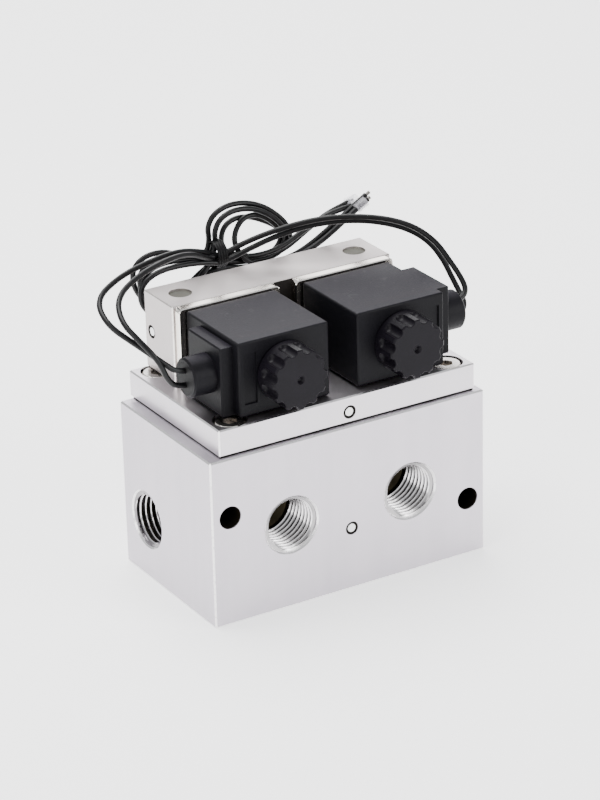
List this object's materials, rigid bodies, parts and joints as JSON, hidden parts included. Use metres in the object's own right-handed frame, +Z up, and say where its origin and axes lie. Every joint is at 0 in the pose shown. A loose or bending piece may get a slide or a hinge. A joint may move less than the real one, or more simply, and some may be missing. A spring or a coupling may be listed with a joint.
{
  "type": "solenoid directional valve",
  "caption": "Double pilot-operated solenoid valve: ported body, pilot plate and block, square coils with knurled nuts, and a tied bundle of leads.",
  "frame": {"origin": "centre of the valve body's base face", "axes": "+X to the right along the outlet face, +Y to the back, +Z up; the outlets and the coil nuts point to -Y"},
  "size_m": [0.0888, 0.0547, 0.0782],
  "materials": {
    "body_anodised": "satin silver anodised",
    "plate_anodised": "satin silver anodised",
    "block_nickel": "satin nickel plated",
    "yoke_nickel": "bright nickel plated",
    "screw_steel": "bright zinc plated",
    "plug_steel": "polished",
    "magnet_steel": "ground",
    "spring_steel": "drawn",
    "tube_brass": "turned",
    "winding_copper": "enamelled wire",
    "wire_tinned": "tinned",
    "spool_aluminium": "hard anodised",
    "piston_acetal": "turned",
    "coil_plastic": "fine moulded grain",
    "nut_plastic": "fine moulded grain",
    "bobbin_plastic": "moulded",
    "wrap_plastic": "moulded",
    "lead_insulation": "satin extruded",
    "sleeve_clear": "translucent",
    "gasket_rubber": "matt",
    "seal_rubber": "matt",
    "grommet_rubber": "matt"
  },
  "bodies": {
    "valve": {"armature_tube_left": "tube_brass", "armature_tube_right": "tube_brass", "block_screws": "screw_steel", "block_seals": "seal_rubber", "coil_bobbin_left": "bobbin_plastic", "coil_bobbin_right": "bobbin_plastic", "coil_case_left": "coil_plastic", "coil_case_right": "coil_plastic", "coil_frame_left": "magnet_steel", "coil_frame_right": "magnet_steel", "coil_winding_left": "winding_copper", "coil_winding_right": "winding_copper", "drilling_plugs": "plug_steel", "fixed_core_left": "magnet_steel", "fixed_core_right": "magnet_steel", "lead_grommet_left": "grommet_rubber", "lead_grommet_right": "grommet_rubber", "lead_hank_left": "lead_insulation", "lead_hank_upper": "lead_insulation", "lead_left_a": "lead_insulation", "lead_left_b": "lead_insulation", "lead_right_a": "lead_insulation", "lead_right_b": "lead_insulation", "lead_sleeves": "sleeve_clear", "lead_tail_left_a": "lead_insulation", "lead_tail_left_b": "lead_insulation", "lead_tail_right_a": "lead_insulation", "lead_tail_right_b": "lead_insulation", "lead_tie": "wrap_plastic", "lead_wires": "wire_tinned", "pilot_block": "block_nickel", "pilot_plate": "plate_anodised", "plate_gasket": "gasket_rubber", "plate_screws": "screw_steel", "plunger_spring_left": "spring_steel", "plunger_spring_right": "spring_steel", "return_spring_left": "spring_steel", "return_spring_right": "spring_steel", "tube_seal_left": "seal_rubber", "tube_seal_right": "seal_rubber", "valve_body": "body_anodised", "yoke_plate_left": "yoke_nickel", "yoke_plate_right": "yoke_nickel"},
    "spool_set_left": {"spool_left": "spool_aluminium", "spool_seals_left": "seal_rubber", "piston_left": "piston_acetal", "piston_seal_left": "seal_rubber"},
    "armature_left": {"plunger_left": "magnet_steel", "plunger_seal_left": "seal_rubber"},
    "nut_left": {"coil_nut_left": "nut_plastic"},
    "spool_set_right": {"spool_right": "spool_aluminium", "spool_seals_right": "seal_rubber", "piston_right": "piston_acetal", "piston_seal_right": "seal_rubber"},
    "armature_right": {"plunger_right": "magnet_steel", "plunger_seal_right": "seal_rubber"},
    "nut_right": {"coil_nut_right": "nut_plastic"}
  },
  "joints": [
    {"name": "spool_slide_left", "type": "slide", "parent": "valve", "child": "spool_set_left", "axis": [0, 0, -1], "range_m": [0, 0.0056], "stiffness_N_per_m": 1200, "springref_m": -0.012, "deforming": ["return_spring_left"]},
    {"name": "plunger_slide_left", "type": "slide", "parent": "valve", "child": "armature_left", "axis": [0, -1, 0], "range_m": [0, 0.0008], "stiffness_N_per_m": 400, "springref_m": -0.004, "deforming": ["plunger_spring_left"]},
    {"name": "nut_spin_left", "type": "hinge", "parent": "valve", "child": "nut_left", "pos_m": [-0.0144, -0.0215, 0.05585], "axis": [0, -1, 0], "continuous": true},
    {"name": "spool_slide_right", "type": "slide", "parent": "valve", "child": "spool_set_right", "axis": [0, 0, -1], "range_m": [0, 0.0056], "stiffness_N_per_m": 1200, "springref_m": -0.012, "deforming": ["return_spring_right"]},
    {"name": "plunger_slide_right", "type": "slide", "parent": "valve", "child": "armature_right", "axis": [0, -1, 0], "range_m": [0, 0.0008], "stiffness_N_per_m": 400, "springref_m": -0.004, "deforming": ["plunger_spring_right"]},
    {"name": "nut_spin_right", "type": "hinge", "parent": "valve", "child": "nut_right", "pos_m": [0.0156, -0.0215, 0.05585], "axis": [0, -1, 0], "continuous": true}
  ]
}
